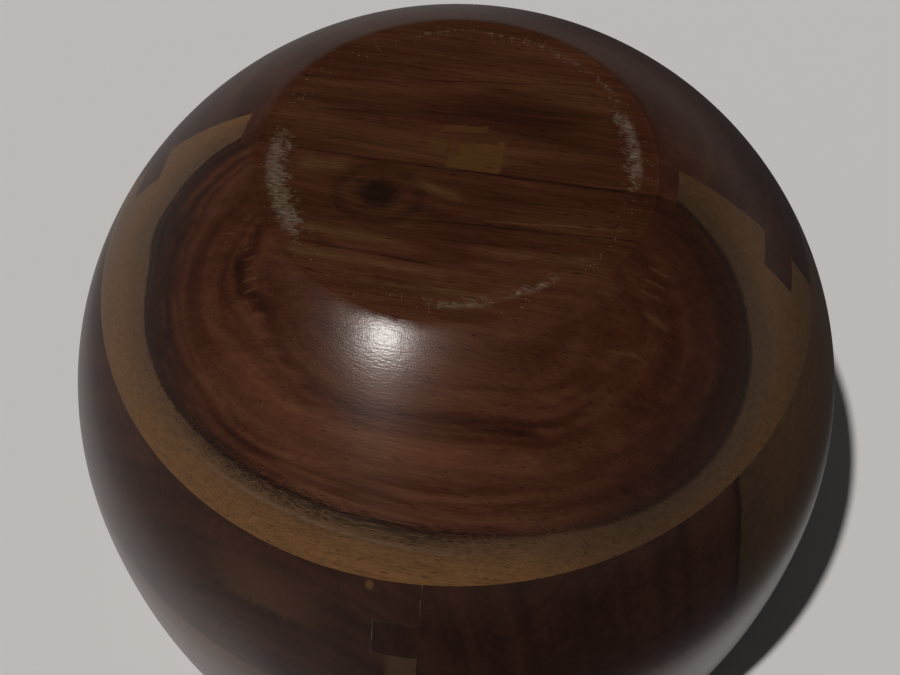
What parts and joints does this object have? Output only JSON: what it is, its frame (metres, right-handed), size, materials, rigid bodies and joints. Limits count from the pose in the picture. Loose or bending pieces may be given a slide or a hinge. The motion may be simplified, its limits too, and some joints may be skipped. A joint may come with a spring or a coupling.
{
  "type": "wooden bowl",
  "caption": "Deep round wooden bowl turned from finger-jointed, cross-laminated blocks, standing upside down on its rim with the flat foot up.",
  "frame": {"origin": "centre of the rim's plane, on the turning axis; the bowl stands on its rim with the foot up", "axes": "+Z along the turning axis from the rim to the foot, X along the grain of the foot layer, -Y towards the viewer of the jointed front"},
  "size_m": [0.254, 0.254, 0.1848],
  "materials": {
    "foot_front_wood": "satin varnish over red-brown heartwood with a golden sapwood band, bare and worn on the foot face",
    "foot_back_wood": "satin varnish over dark red-brown heartwood, bare and worn on the foot face",
    "belly_left_wood": "satin varnish over dark red-brown heartwood",
    "belly_right_wood": "satin varnish over dark red-brown heartwood with sapwood at one edge",
    "wall_front_wood": "satin varnish over red-brown heartwood",
    "wall_back_wood": "satin varnish over red-brown heartwood",
    "rim_left_wood": "satin varnish over red-brown heartwood",
    "rim_right_wood": "satin varnish over red-brown heartwood"
  },
  "bodies": {
    "root": {"foot_front_block": "foot_front_wood", "foot_back_block": "foot_back_wood", "belly_left_block": "belly_left_wood", "belly_right_block": "belly_right_wood", "wall_front_block": "wall_front_wood", "wall_back_block": "wall_back_wood", "rim_left_block": "rim_left_wood", "rim_right_block": "rim_right_wood"}
  },
  "joints": []
}
